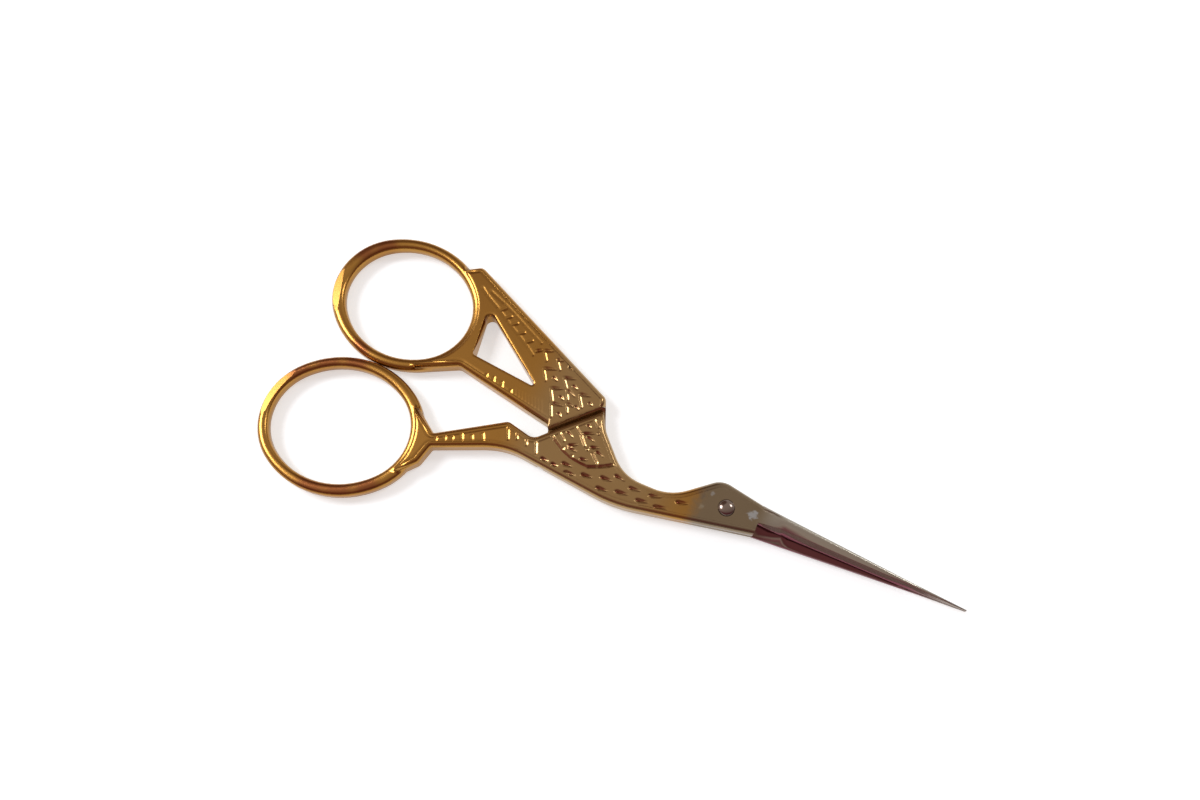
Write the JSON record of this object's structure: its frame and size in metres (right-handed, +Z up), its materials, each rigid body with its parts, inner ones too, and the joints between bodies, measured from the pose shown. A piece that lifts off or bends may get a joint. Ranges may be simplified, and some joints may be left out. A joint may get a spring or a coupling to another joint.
{
  "type": "stork embroidery scissors",
  "caption": "Small embroidery scissors in the traditional stork shape: finger rings and legs, engraved gold-plated body and neck, and a steel beak whose two blades turn on one rivet, the eye.",
  "frame": {"origin": "on the rivet's axis, at the flat underside that the scissors rest on", "axes": "+X along the closed beak to its point, +Y towards the rear half's ring, +Z up along the rivet's axis, out of its domed head"},
  "size_m": [0.1147, 0.0472, 0.004],
  "materials": {
    "gilt_steel": "gold-plated forged steel, worn to bare steel at the head and the blades",
    "bare_steel": "polished"
  },
  "bodies": {
    "rear": {"rear_half": "gilt_steel", "pivot_rivet": "bare_steel"},
    "front": {"front_half": "gilt_steel"}
  },
  "joints": [
    {"name": "blade_pivot", "type": "hinge", "parent": "rear", "child": "front", "pos_m": [0, 0, 0], "axis": [0, 0, 1], "range_deg": [0, 60]}
  ]
}
